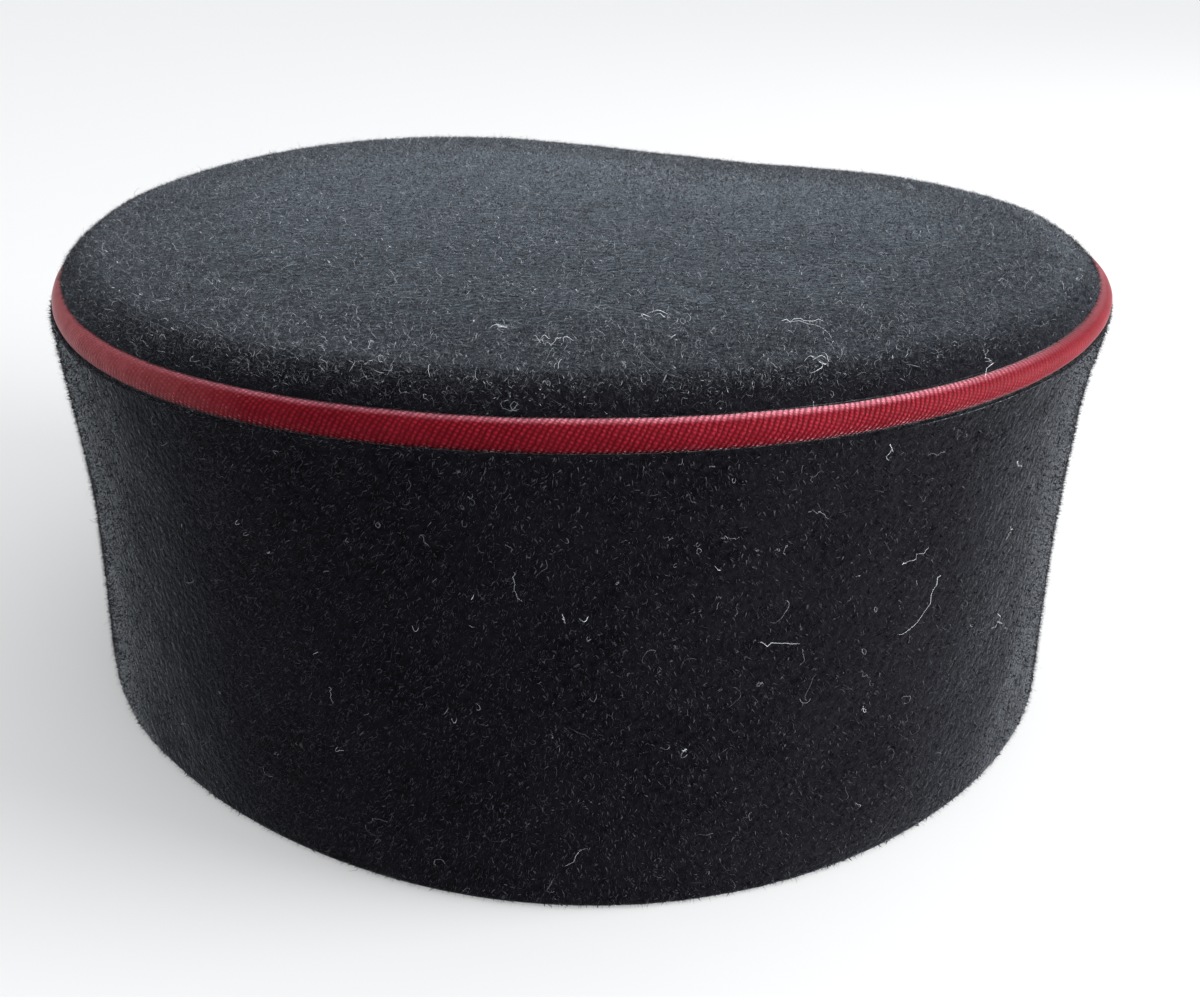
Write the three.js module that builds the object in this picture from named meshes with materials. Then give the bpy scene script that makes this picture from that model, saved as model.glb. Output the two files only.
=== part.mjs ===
// Kullu cap: a pillbox cap of black wool felt, with a red piping sewn into the seam of crown and side wall.
// Millimetres, +Z up. The hem stands on z = 0, and the front faces -Y.
import * as THREE from 'three';
import { mergeVertices } from 'three/addons/utils/BufferGeometryUtils.js';

// Driving dimensions
const HEM_RADIUS = 94.1; // mean outer radius of the hem, for a head of about 57 cm
const SEAM_RADIUS = 92.7; // mean radius of the piping's middle
const SEAM_HEIGHT = 78; // mean height of the piping's middle
const WALL_THICK = 2.8;
const WALL_WAIST = 0.6; // how far the wall draws in at half height
const WALL_FLARE = 2.2; // how far the wall spreads in its top stretch
const FLARE_POWER = 5; // how late the spread sets in: more is later
const WALL_FLUSH = 2.2; // how far the top of the wall stands out past the piping's middle
const EDGE_ROUND = 0.8; // rounding of the wall's felt edges
const CROWN_THICK = 2.6;
const CROWN_RISE = 6.7; // from the piping's middle to the top of the rolled rim
const CROWN_ROLL = 9; // width of the rolled rim
const CROWN_OVERHANG = 1; // how far the rolled rim stands out past the piping's middle
const CROWN_DOME = 1.5; // how far the middle of the crown rises above the rim
const BEAD_RADIUS = 2.4; // half the height of the piping's cord in its cover
const BEAD_FLAT = 0.88; // depth of the cord as a share of its height
const FLANGE_THICK = 0.8; // the cover's two layers, caught in the seam
const LIP_REACH = 4.5; // how far the turned-in felt reaches inside the piping's middle
const SEAT_OPEN = 54; // degrees below level where the wall's seat under the bead begins
const LIP_CORNER = 0.7; // where the lip's under face bends down, as a share of the way to the wall
const GAP = 0.3; // clearance between the pieces

// The plan is a circle with a few soft lobes, as felt takes from wear: a row for each, with the number
// of lobes round the cap, how far they stand out and the bearing of the first one, from +X towards +Y.
const SEAM_LOBES = [
  { lobes: 1, out: 0.4, bearing: -101 },
  { lobes: 2, out: 1.5, bearing: 6 },
  { lobes: 3, out: 0.3, bearing: 2 },
];
const HEM_LOBES = [
  { lobes: 1, out: 0.5, bearing: 107 },
  { lobes: 2, out: 1.5, bearing: -14 },
  { lobes: 4, out: 1, bearing: 2 },
];
// The upper part of the wall stands out more on one side, and so does the crown: rows as above.
const WALL_BULGE = [
  { lobes: 1, out: 0.8, bearing: -177 },
  { lobes: 2, out: 0.3, bearing: -23 },
];
const BULGE_POWER = 3; // how high up the wall it bulges: more is higher
const CROWN_LOBES = [
  { lobes: 1, out: 1, bearing: 165 },
  { lobes: 2, out: 0.6, bearing: -36 },
  { lobes: 3, out: 0.6, bearing: 13 },
];
// The seam runs up and down a little round the cap, as it was sewn by hand: rows as above.
const SEAM_WAVES = [
  { lobes: 1, out: 1.1, bearing: -13 },
  { lobes: 2, out: 0.95, bearing: -35 },
  { lobes: 3, out: 0.6, bearing: 8 },
  { lobes: 4, out: 0.2, bearing: 1 },
];
// The piping is plumper in places, with its top and bottom each this much further out: rows as above.
const CORD_LOBES = [
  { lobes: 1, out: 0.35, bearing: 134 },
  { lobes: 2, out: 0.45, bearing: 85 },
];
// Soft dents in the crown: bearing and radius of the middle, depth there, and spread.
const CROWN_DENTS = [
  { bearing: 73, radius: 84, depth: 2.8, spread: 40 },
];
const DENT_FOOT = 2.3; // height over the piping's middle where a dent starts to show

// Fineness of the facets
const AROUND = 88;
const WALL_STEPS = 7;
const ROLL_STEPS = 6;
const TOP_STEPS = 5;
const ARC_STEPS = 4;
const BEAD_STEPS = 10;

const RIGHT_ANGLE = Math.PI / 2;
const FLUSH_RADIUS = SEAM_RADIUS + WALL_FLUSH;
const SEAT_RADIUS = BEAD_RADIUS + GAP; // the felt's edges follow the bead at this radius
const LIP_LEVEL = FLANGE_THICK / 2 + GAP; // the turned-in edges stop this far from the piping's middle
const LIP_RADIUS = SEAM_RADIUS - LIP_REACH;
const LIP_ANGLE = Math.PI - Math.asin(LIP_LEVEL / SEAT_RADIUS); // where the seat runs out into a lip
const RIM_LEVEL = SEAM_HEIGHT + 0.99 * SEAT_RADIUS; // the crown's own lobes start just under its rim
const ROLL_MIDDLE = SEAM_RADIUS + CROWN_OVERHANG - CROWN_ROLL; // radius where the rim meets the flat top

const felt = { color: '#1c1c20', roughness: 0.95, metalness: 0 };
const twill = { color: '#7d1f2b', roughness: 0.6, metalness: 0 };

function point(radius, height) {
  return new THREE.Vector2(radius, height);
}

function steps(count) {
  return Array.from({ length: count + 1 }, (_, i) => i / count);
}

// Points of a flattened arc round the bead's middle, between two angles in radians.
function beadArc(radius, from, to, count) {
  return steps(count).map((share) => {
    const angle = THREE.MathUtils.lerp(from, to, share);
    const out = BEAD_FLAT * radius * Math.cos(angle);
    return point(SEAM_RADIUS + out, SEAM_HEIGHT + radius * Math.sin(angle));
  });
}

// Mean outer radius of the side wall at a height.
function wallRadius(height) {
  const share = height / (SEAM_HEIGHT - BEAD_RADIUS);
  const straight = THREE.MathUtils.lerp(HEM_RADIUS, FLUSH_RADIUS - WALL_FLARE, share);
  const waist = WALL_WAIST * Math.sin(share * Math.PI);
  return straight - waist + WALL_FLARE * share ** FLARE_POWER;
}

// Side wall: up the outer face, under the bead, in along the turned-in lip and down the inner face.
function wallSection() {
  const shoulder = SEAM_HEIGHT - SEAT_RADIUS - EDGE_ROUND;
  const lipTop = SEAM_HEIGHT - LIP_LEVEL;
  const lipUnder = lipTop - WALL_THICK;
  const corner = lipUnder - WALL_THICK; // the inner face turns in towards the lip from here
  const climb = (from, to) => steps(WALL_STEPS).map((share) => {
    return THREE.MathUtils.lerp(from, to, Math.sin(share * RIGHT_ANGLE));
  });
  const outer = climb(EDGE_ROUND, shoulder).map((height) => point(wallRadius(height), height));
  const inner = climb(EDGE_ROUND, corner).map((height) => point(wallRadius(height) - WALL_THICK, height));
  const seatStart = -THREE.MathUtils.degToRad(SEAT_OPEN);
  const face = inner.at(-1).x;
  return [
    point(HEM_RADIUS - WALL_THICK + EDGE_ROUND, 0),
    point(HEM_RADIUS - EDGE_ROUND, 0),
    ...outer,
    point(FLUSH_RADIUS - EDGE_ROUND / 4, shoulder + EDGE_ROUND),
    ...beadArc(SEAT_RADIUS, seatStart, -LIP_ANGLE, ARC_STEPS),
    point(LIP_RADIUS, lipTop),
    point(LIP_RADIUS, lipUnder),
    point(THREE.MathUtils.lerp(LIP_RADIUS, face, LIP_CORNER), lipUnder - WALL_THICK / 4),
    ...inner.reverse(),
  ];
}

// Height of the crown's top face over the rolled rim, at a radius.
function dome(radius) {
  return CROWN_DOME * (1 - (radius / ROLL_MIDDLE) ** 2);
}

// Crown: out along the under face, down to the lip, up past the bead and over the rolled rim.
function crownSection() {
  const roll = (angle, inset) => point(
    ROLL_MIDDLE + (CROWN_ROLL - inset) * Math.cos(angle),
    SEAM_HEIGHT + (CROWN_RISE - inset) * Math.sin(angle),
  );
  const rimStart = Math.asin(SEAT_RADIUS / CROWN_RISE);
  const outerRoll = steps(ROLL_STEPS).map((share) => {
    return roll(THREE.MathUtils.lerp(rimStart, RIGHT_ANGLE, share), 0);
  });
  const lipAngle = Math.acos((LIP_RADIUS - ROLL_MIDDLE) / (CROWN_ROLL - CROWN_THICK));
  const innerRoll = steps(ARC_STEPS).map((share) => {
    return roll(THREE.MathUtils.lerp(RIGHT_ANGLE, lipAngle, share), CROWN_THICK);
  });
  const top = steps(TOP_STEPS).slice(1).map((share) => {
    const radius = ROLL_MIDDLE * (1 - share);
    return point(radius, SEAM_HEIGHT + CROWN_RISE + dome(radius));
  });
  const under = [...top].reverse().map((p) => point(p.x, p.y - CROWN_THICK));
  const seatEnd = Math.atan2(outerRoll[0].y - SEAM_HEIGHT, outerRoll[0].x - SEAM_RADIUS);
  return [
    ...under,
    ...innerRoll,
    point(LIP_RADIUS, SEAM_HEIGHT + LIP_LEVEL),
    ...beadArc(SEAT_RADIUS, LIP_ANGLE, seatEnd, ARC_STEPS).slice(0, -1),
    ...outerRoll,
    ...top,
  ];
}

// Piping: a rounded bead with a flat flange, which lies between the two lips of felt.
function pipingSection() {
  const half = FLANGE_THICK / 2;
  const root = Math.PI - Math.asin(half / BEAD_RADIUS);
  const edge = LIP_RADIUS + GAP;
  return [
    point(edge, SEAM_HEIGHT - half),
    ...beadArc(BEAD_RADIUS, -root, root, BEAD_STEPS),
    point(edge, SEAM_HEIGHT + half),
  ];
}

function lobeOffset(rows, bearing) {
  return rows.reduce((sum, row) => {
    const from = THREE.MathUtils.degToRad(row.bearing);
    return sum + row.out * Math.cos(row.lobes * (bearing - from));
  }, 0);
}

function dentDepth(x, y) {
  return CROWN_DENTS.reduce((sum, dent) => {
    const bearing = THREE.MathUtils.degToRad(dent.bearing);
    const away = Math.hypot(x - dent.radius * Math.cos(bearing), y - dent.radius * Math.sin(bearing));
    return sum + dent.depth * Math.exp(-((away / dent.spread) ** 2));
  }, 0);
}

// Turns a section into a ring or dome round +Z, and gives it the cap's plan, waves and dents.
// Lobes and waves fade out towards the axis, so that the crown stays smooth in the middle.
function revolve(section, closed) {
  const profile = closed ? [...section, section[0].clone()] : section;
  const lathe = new THREE.LatheGeometry(profile, AROUND);
  lathe.rotateX(RIGHT_ANGLE);
  lathe.deleteAttribute('normal');
  lathe.deleteAttribute('uv');
  const geometry = mergeVertices(lathe);
  const position = geometry.attributes.position;
  for (let i = 0; i < position.count; i += 1) {
    const x = position.getX(i);
    const y = position.getY(i);
    const z = position.getZ(i);
    const bearing = Math.atan2(y, x);
    const reach = Math.hypot(x, y) / SEAM_RADIUS; // 0 on the axis, 1 at the seam
    const share = THREE.MathUtils.clamp(z / SEAM_HEIGHT, 0, 1);
    const hemOffset = lobeOffset(HEM_LOBES, bearing);
    const seamOffset = lobeOffset(SEAM_LOBES, bearing);
    const bulge = Math.sin(Math.PI * share ** BULGE_POWER) * lobeOffset(WALL_BULGE, bearing);
    const rim = z > RIM_LEVEL ? lobeOffset(CROWN_LOBES, bearing) : 0;
    const offset = THREE.MathUtils.lerp(hemOffset, seamOffset, share) + bulge + rim;
    const grow = 1 + offset / SEAM_RADIUS;
    const over = THREE.MathUtils.clamp((z - SEAM_HEIGHT) / SEAT_RADIUS, -1, 1);
    const plump = over * lobeOffset(CORD_LOBES, bearing);
    const wave = share * reach ** 2 * (lobeOffset(SEAM_WAVES, bearing) + plump);
    const lift = THREE.MathUtils.smoothstep(z - SEAM_HEIGHT, DENT_FOOT, CROWN_RISE);
    position.setXYZ(i, x * grow, y * grow, z + wave - lift * dentDepth(x, y));
  }
  return geometry;
}

function addPiece(group, name, geometry, look) {
  const mesh = new THREE.Mesh(geometry, new THREE.MeshStandardMaterial(look));
  mesh.name = name;
  group.add(mesh);
}

const cap = new THREE.Group();
addPiece(cap, 'side_wall', revolve(wallSection(), true), felt);
addPiece(cap, 'piping', revolve(pipingSection(), true), twill);
addPiece(cap, 'crown', revolve(crownSection(), false), felt);

// The origin lies on the floor, under the middle of the cap's box.
const middle = new THREE.Box3().setFromObject(cap).getCenter(new THREE.Vector3());
cap.position.set(-middle.x, -middle.y, 0);

export default cap;
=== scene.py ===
"""Kullu cap of black wool felt with a red twill piping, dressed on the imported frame. Metres, +Z up."""

import bpy
import numpy as np
from mathutils import Matrix, Vector


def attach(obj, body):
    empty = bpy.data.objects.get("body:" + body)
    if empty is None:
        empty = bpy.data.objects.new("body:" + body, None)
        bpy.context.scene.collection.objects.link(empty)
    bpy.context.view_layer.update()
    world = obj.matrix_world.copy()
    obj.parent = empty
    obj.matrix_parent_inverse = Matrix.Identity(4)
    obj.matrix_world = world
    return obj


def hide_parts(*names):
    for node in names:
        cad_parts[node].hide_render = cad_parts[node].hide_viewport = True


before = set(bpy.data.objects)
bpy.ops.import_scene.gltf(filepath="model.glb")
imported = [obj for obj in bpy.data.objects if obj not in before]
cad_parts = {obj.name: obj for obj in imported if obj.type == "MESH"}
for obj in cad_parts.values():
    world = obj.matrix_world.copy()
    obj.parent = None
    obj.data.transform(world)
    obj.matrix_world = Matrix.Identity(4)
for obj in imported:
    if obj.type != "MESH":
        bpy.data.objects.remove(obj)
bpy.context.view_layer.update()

# Driving dimensions: the frame's, with finer edges and a closer seam
HEM_RADIUS = 0.0941  # mean outer radius of the hem
SEAM_RADIUS = 0.0927  # mean radius of the piping's middle
SEAM_HEIGHT = 0.078  # mean height of the piping's middle
WALL_THICK = 0.0028
WALL_WAIST = 0.0006  # how far the wall draws in at half height
WALL_FLARE = 0.0022  # how far the wall spreads in its top stretch
FLARE_POWER = 5  # how late the spread sets in: more is later
WALL_FLUSH = 0.0022  # how far the top of the wall stands out past the piping's middle
EDGE_ROUND = 0.0004  # rounding of the wall's top edge
HEM_ROUND = 0.0012  # rounding of the hem
FOOT_ROUND = 0.00012  # rounding of the rolled rim's lower edge
CROWN_THICK = 0.0026
CROWN_RISE = 0.0067  # from the piping's middle to the top of the rolled rim
CROWN_ROLL = 0.009  # width of the rolled rim
CROWN_OVERHANG = 0.001  # how far the rolled rim stands out past the piping's middle
CROWN_DOME = 0.0015  # how far the middle of the crown rises above the rim
BEAD_RADIUS = 0.0024  # half the height of the piping's cord in its cover
BEAD_FLAT = 0.88  # depth of the cord as a share of its height
FLANGE_THICK = 0.0008  # the cover's two layers, caught in the seam
LIP_REACH = 0.0045  # how far the turned-in felt reaches inside the piping's middle
SEAT_OPEN = 38  # degrees below level where the wall's felt, with its nap, meets the bead
LIP_CORNER = 0.7  # where the lip's under face bends down, as a share of the way to the wall
GAP = 0.00015  # clearance between the pieces, half the frame's, because the nap closes the rest
FOOT_LIFT = 1.64  # where the rim's rounded foot meets its roll, over the bead, in roundings
POLE_RADIUS = 0.0004  # innermost ring of the crown's mesh
RIM_FOOT = 0.99  # height over the piping's middle, in seat radii, where the crown's own lobes start
PLAN_SHIFT = (0.00001, -0.00022)  # moves the plan, so that the box's middle lies over the origin

# The plan is a circle with a few soft lobes: how many round the cap, how far they stand out, and the
# bearing in degrees of the first one, from +X towards +Y.
SEAM_LOBES = [
    dict(lobes=1, out=0.0004, bearing=-101),
    dict(lobes=2, out=0.0015, bearing=6),
    dict(lobes=3, out=0.0003, bearing=2),
]
HEM_LOBES = [
    dict(lobes=1, out=0.0005, bearing=107),
    dict(lobes=2, out=0.0015, bearing=-14),
    dict(lobes=4, out=0.001, bearing=2),
]
# The upper part of the wall stands out more on one side, and so does the crown: rows as above.
WALL_BULGE = [
    dict(lobes=1, out=0.0008, bearing=-177),
    dict(lobes=2, out=0.0003, bearing=-23),
]
BULGE_POWER = 3  # how high up the wall it bulges: more is higher
CROWN_LOBES = [
    dict(lobes=1, out=0.001, bearing=165),
    dict(lobes=2, out=0.0006, bearing=-36),
    dict(lobes=3, out=0.0006, bearing=13),
]
# The seam runs up and down a little round the cap: rows as above.
SEAM_WAVES = [
    dict(lobes=1, out=0.0011, bearing=-13),
    dict(lobes=2, out=0.00095, bearing=-35),
    dict(lobes=3, out=0.0006, bearing=8),
    dict(lobes=4, out=0.0002, bearing=1),
]
# The piping is plumper in places, with its top and bottom each this much further out: rows as above.
CORD_LOBES = [
    dict(lobes=1, out=0.00035, bearing=134),
    dict(lobes=2, out=0.00045, bearing=85),
]
# Soft dents in the crown: bearing and radius of the middle, depth there, and spread.
CROWN_DENTS = [
    dict(bearing=73, radius=0.084, depth=0.0028, spread=0.04),
]
DENT_FOOT = 0.0023  # height over the piping's middle where a dent starts to show
# Slow unevenness of the felt: size and height of its waves, and the share of a face's rows over which
# they fade out, at both ends of the wall and at the crown's rim.
WALL_SWELL = [
    dict(size=0.022, height=0.0001),
    dict(size=0.006, height=0.00003),
]
CROWN_SWELL = [
    dict(size=0.026, height=0.00008),
    dict(size=0.007, height=0.00003),
]
SWELL_WAVES = 48  # waves in random directions that add up to one kind
SWELL_SPREAD = (0.7, 1.8)  # their lengths, as shares of the size
WALL_FADE = 0.12
CROWN_FADE = 0.3

# Fineness of the meshes
FELT_AROUND = 320
WALL_ROWS = 44
INSIDE_ROWS = 10
TOP_ROWS = 22
ROLL_ROWS = 16
ARC_ROWS = 5
BEAD_ROWS = 16
UNDER_STEP = 3  # the crown's under face has a third of its top's rows

# Twill of the piping
WALES = 690  # slanting ribs round the cap, about 0.84 mm apart
STEPS_A_WALE = 3
WALE_SLANT = -0.5  # how far a rib runs along the cap for each bit that it runs round the cord
WALE_HEIGHT = 0.00005
FLOAT_LENGTH = 0.0005  # the short floats that make up a rib, along the rib
DUST_AND_SHEEN_LEFT = (-0.045, -0.09)  # where along X the piping starts to look pale from dust and a painted sheen, and where it is palest
SMOOTH_RIGHT = (0.045, 0.075)  # where its weave starts to fade on the other side, and is faintest
WEAR_AND_HIGHLIGHT_FROM = 0.9  # angle up the cord, in radians, where its top starts to look pale, from wear and a painted highlight
WEAR_AND_HIGHLIGHT_TO = 1.5  # and where it is palest
RIB_FADE = (-0.75, -0.3)  # cosines of the angles round the cord between which the ribs rise out of the seam
# The ribs wander: size of the patches, and how far to each side in ribs.
SLOW_WOBBLE = dict(size=0.004, stray=0.25)
QUICK_WOBBLE = dict(size=0.0009, stray=0.35)
FLOAT_SHIFT = 0.5  # how far the floats of one rib lie past those of the next, in floats
FLOAT_DEPTH = 0.7  # how much of the ribs' height the floats break up
YARN_ROUND = 0.8  # exponent that broadens the floats
YARN_CHANCE = (0.5, 1.2)  # each float's height, from the lowest to the highest
TWILL_FUZZ = dict(size=0.0002, height=0.25)  # the yarn's own roughness, in ribs' heights
TWILL_RELIEF = 0.00016
FAINT_WEAVE = 0.12  # how much of the weave still shows where it has faded
PLAIN_YARN = dict(size=0.00045, most=0.4)  # the mottling that shows instead, darker than the weave: at the right end, painted shade
# Colours of the twill: between the ribs, on them, where it has faded, on its top, pale from wear and a
# painted highlight, and at the left end, pale from dust and a painted sheen.
RED_DEEP = (0.06, 0.0012, 0.0034)
RED_RIB = (0.2, 0.0072, 0.016)
RED_FADED = (0.16, 0.008, 0.015)
RED_WEAR_AND_HIGHLIGHT = (0.8, 0.26, 0.33)
DUST_AND_SHEEN_DEEP = (0.24, 0.052, 0.056)
DUST_AND_SHEEN_PALE = (0.46, 0.19, 0.195)
FADED_PATCH = dict(size=0.012, most=0.25)  # patches of faded red
WEAR_AND_HIGHLIGHT_SHARE = (0.25, 0.8)  # how pale the top is, from wear and the painted highlight, between the ribs and on them
DUST_AND_SHEEN_PATCH = dict(size=0.003, shares=(0.6, 0.95))  # how far the dust and painted sheen cover the red, in patches
# The cord's own unevenness: waves round the cap, their height, and the angle where they start in radians.
CORD_RIPPLES = [
    dict(waves=9, height=0.00004, start=1),
    dict(waves=23, height=0.00003, start=0),
    dict(waves=61, height=0.00002, start=0),
]

# Stretches of a noise's values that stand for its whole range
EVEN_SPREAD = (0.3, 0.7)
UPPER_SPREAD = (0.4, 0.7)
SHARP_SPREAD = (0.35, 0.65)

# Felt: size of its clumps and of its worn patches, its relief, and its colours between the clumps, on them
# and where it is worn.
CLUMP_SIZE = 0.0011
PATCH_SIZE = 0.014
FELT_RELIEF = 0.00026
FELT_DEEP = (0.0023, 0.0021, 0.0029)
FELT_CLUMP = (0.006, 0.0056, 0.0076)
FELT_WORN = (0.0071, 0.0069, 0.009)
MOST_WORN = 0.4
# The felt's sheen: its strength, how far it spreads from grazing angles, and its tint. The wall's is greyer
# than the crown's, and felt pressed into the seam has little.
WALL_TINT = (0.82, 0.88, 0.94)
CROWN_TINT = (0.72, 0.86, 1.0)
PRESSED_SHEEN = dict(sheen=0.18, spread=0.3, tint=WALL_TINT)
WALL_SHEEN = dict(sheen=0.62, spread=0.27, tint=WALL_TINT)
CROWN_SHEEN = dict(sheen=0.3, spread=0.33, tint=CROWN_TINT)

# Nap of the felt: straight fibres that stand out of its face, leaning in degrees from its normal
NAP_LENGTH = (0.0005, 0.0012)
WALL_LEAN = (0, 30)
MAT_LENGTH = (0.0003, 0.0008)  # part of the wall's nap is matted down
MAT_LEAN = (40, 85)
PRESSED_LEAN = (30, 82)  # the crown's nap, and tufts everywhere
NAP_SWIRL = dict(size=0.0022, height=2.5)  # patches in which fibres lean the same way, turning in radians
NAP_STRAY = 0.6  # how far single fibres stray from that, in radians
FIBRE_RADIUS = (0.00002, 0.000036)
# Tufts: short broad points of matted wool, which roughen the felt
TUFT_LENGTH = (0.00022, 0.0006)
TUFT_RADIUS = (0.00007, 0.00017)
WALL_TUFT_LENGTH = (0.0004, 0.0009)
EDGE_LENGTH = (0.0002, 0.0005)  # short fibres on the wall's top edge
EDGE_LEAN = (0, 60)
EDGE_RADIUS = (0.00004, 0.00008)
# Curls: longer fibres that bend back to the felt
CURL_STEPS = 4
CURL_LENGTH = 0.0011  # mean
CURL_SHAPE = 4  # of the gamma curve that their lengths follow
CURL_RADIUS = (0.000014, 0.00003)
CURL_LEAN = (10, 60)  # degrees from the normal, where a curl leaves the felt
CURL_BEND = (15, 55)  # degrees more for each step
CURL_DRIFT = (-70, 70)  # degrees that the heading turns for each step
# How many fibres each coat has: the crown's rim has one of its own, with more pale fibres, partly raised by
# wear and partly painted light that keeps the rim bright where its sheen fades
WALL_NAP = 120000  # standing up
WALL_MAT = 100000  # matted down
WALL_TUFTS = 50000
WALL_CURLS = 8000
EDGE_NAP = 42000  # on the wall's top edge, against the piping: fewer are kept in front and behind, so that their painted light shows at the sides
CROWN_NAP = 170000
CROWN_TUFTS = 44000
CROWN_CURLS = 16000
RIM_NAP = 100000
RIM_CURLS = 21000
RIM_WIDTH = 0.036
FOOT_NAP = 40000
FOOT_WIDTH = 0.006  # the crown's lower edge, where the pale fibres thin out as painted shade, except on the left
THIN_FROM = 1 / 3  # share of a coat's width where it starts to thin out
# Colours of the fibres, and how much of each there is in a coat
FIBRE_COLOURS = dict(
    dark=(0.007, 0.0068, 0.0088),
    coal=(0.024, 0.0245, 0.029),
    grey=(0.048, 0.05, 0.057),
    light=(0.13, 0.14, 0.155),
    pale=(0.34, 0.35, 0.38),
)
STANDING = dict(coal=0.74, grey=0.25, light=0.01)
MATTED = dict(dark=0.4, coal=0.5, grey=0.1)
TUFTED = dict(dark=0.1, coal=0.9)
SHADED = dict(dark=0.5, coal=0.5)
# Lighter fibres on the wall's top edge: painted light that lifts the shade under the piping.
EDGE_PAINTED_LIGHT = dict(coal=0.2, grey=0.65, light=0.15)
# The crown's coats are lighter than the wall's: partly its raised pale nap, partly painted top light
# standing in for sheen.
RAISED_AND_TOP_LIT = dict(coal=0.3, grey=0.5, light=0.17, pale=0.03)
CURLY = dict(grey=0.4, light=0.38, pale=0.22)
STRAND_TAPER = 0.5  # width of a strand near its end, as a share of its width at its root

# Loose pale fibres as they lie in the photo: bearings in degrees with heights on the wall, or with radii
# on the crown, in metres.
WALL_LINT = [
    [(-53.5, 0.0494), (-54.8, 0.0487), (-54.5, 0.0465), (-54.8, 0.0439), (-57.2, 0.0404), (-59.2, 0.042)],
    [(-59.5, 0.0537), (-58.5, 0.054), (-56.2, 0.0555)],
    [(-43.2, 0.0522), (-43, 0.0511), (-43.8, 0.0504), (-43.8, 0.0494)],
    [(-45, 0.0641), (-43.8, 0.0624)],
    [(-42.5, 0.0359), (-41, 0.0333), (-43.5, 0.0337)],
    [(-73.8, 0.0462), (-73.2, 0.045), (-72, 0.0454), (-71, 0.0447), (-69.2, 0.0443)],
    [(-70, 0.0728), (-70.2, 0.0718), (-70.8, 0.0717), (-71, 0.0713), (-70.5, 0.0707)],
    [(-70.5, 0.0661), (-69.5, 0.0659), (-68.8, 0.065), (-68.2, 0.0641)],
    [(-63.8, 0.0751), (-63.2, 0.0739), (-63.8, 0.0732), (-63.5, 0.0718)],
    [(-59, 0.0713), (-57.5, 0.0711), (-56.8, 0.0716)],
    [(-95, 0.0596), (-95.2, 0.0576), (-95.5, 0.0561), (-95, 0.0552), (-94.5, 0.054)],
    [(-83.2, 0.0646), (-82.2, 0.0641)],
    [(-78.2, 0.0636), (-77.5, 0.0636), (-76.5, 0.0632)],
    [(-78.2, 0.0543), (-77.5, 0.054)],
    [(-91.2, 0.0521), (-91, 0.0511)],
    [(-81.5, 0.0469), (-81.2, 0.0465)],
    [(-113, 0.0352), (-113, 0.0338), (-112.8, 0.0318)],
    [(-80.1, 0.0292), (-79.8, 0.0289)],
]
CROWN_LINT = [
    [(-84.5, 0.0802), (-83.8, 0.087), (-82, 0.0892), (-81, 0.0895)],
    [(-84.8, 0.0802), (-84.8, 0.0834), (-84.8, 0.0874)],
    [(-92.5, 0.0636), (-90.2, 0.0655), (-88.8, 0.0643), (-87.5, 0.0617), (-85.2, 0.0643)],
    [(-66.8, 0.0738), (-64.5, 0.0758), (-63.2, 0.0777), (-64, 0.0815), (-65.8, 0.0853)],
    [(-66.8, 0.0738), (-64, 0.0745), (-61.5, 0.0758)],
    [(-51.4, 0.0934), (-50.4, 0.0922), (-50.9, 0.0915)],
    [(-138.4, 0.074), (-138, 0.0736)],
    [(-141.8, 0.0856), (-141.5, 0.0852)],
    [(-136.2, 0.0578), (-135.6, 0.057)],
    [(-31.2, 0.0856), (-30.7, 0.0852)],
]
# Small tangles of lint on the crown: bearing, radius, spread, and how many fibres.
CROWN_TANGLES = [
    dict(bearing=-100, radius=0.0713, spread=0.0014, fibres=9),
    dict(bearing=-94.2, radius=0.077, spread=0.0018, fibres=8),
    dict(bearing=-79.5, radius=0.0662, spread=0.002, fibres=9),
    dict(bearing=-68, radius=0.0878, spread=0.001, fibres=6),
]
LINT_STEPS = 11
LINT_RADIUS = (0.000016, 0.000028)
LINT_COLOURS = dict(faint=(0.09, 0.095, 0.105), grey=(0.22, 0.23, 0.25), white=(0.6, 0.62, 0.65))
# Fibres that lie anywhere: how many on each piece, and how much there is of each colour
WALL_LOOSE = 900
CROWN_LOOSE = 500
LOOSE_SHARES = dict(faint=0.6, grey=0.32, white=0.08)
LOOSE_LENGTH = dict(least=0.0006, shape=1.5, scale=0.0008)  # a gamma curve over the least
LOOSE_CURL = 0.4  # how much fibres turn at each step, in radians
LOOSE_HOVER = (0.0007, 0.0013)  # over the felt, on top of its nap
HOVER_SWAY = 0.25  # how far a fibre rises and sinks along its length, as a share of its hover
SWAY_STEP = 0.6  # how far along that wave each step goes, in radians
LEAST_GIRTH = 0.02  # keeps a fibre's steps round the crown's middle short
# Fibres in their places
PLACED_SHARES = dict(grey=0.5, white=0.5)
SOFT_BEND = (0.12, 0.24, 0.28, 0.24, 0.12)  # weights that round a fibre's bends
PLACED_HOVER = 0.0011
PLACED_WOBBLE = 0.00016
TANGLE_LENGTH = (0.0015, 0.004)
TANGLE_CURL = 0.35

FLUSH_RADIUS = SEAM_RADIUS + WALL_FLUSH
SEAT_RADIUS = BEAD_RADIUS + GAP
LIP_LEVEL = FLANGE_THICK / 2 + GAP
LIP_RADIUS = SEAM_RADIUS - LIP_REACH
LIP_ANGLE = np.pi - np.arcsin(LIP_LEVEL / SEAT_RADIUS)
RIM_LEVEL = SEAM_HEIGHT + RIM_FOOT * SEAT_RADIUS
ROLL_MIDDLE = SEAM_RADIUS + CROWN_OVERHANG - CROWN_ROLL
FULL_TURN = 2 * np.pi
RIGHT_ANGLE = np.pi / 2
CAP_MIDDLE = (0, 0, SEAM_HEIGHT / 2)

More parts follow.
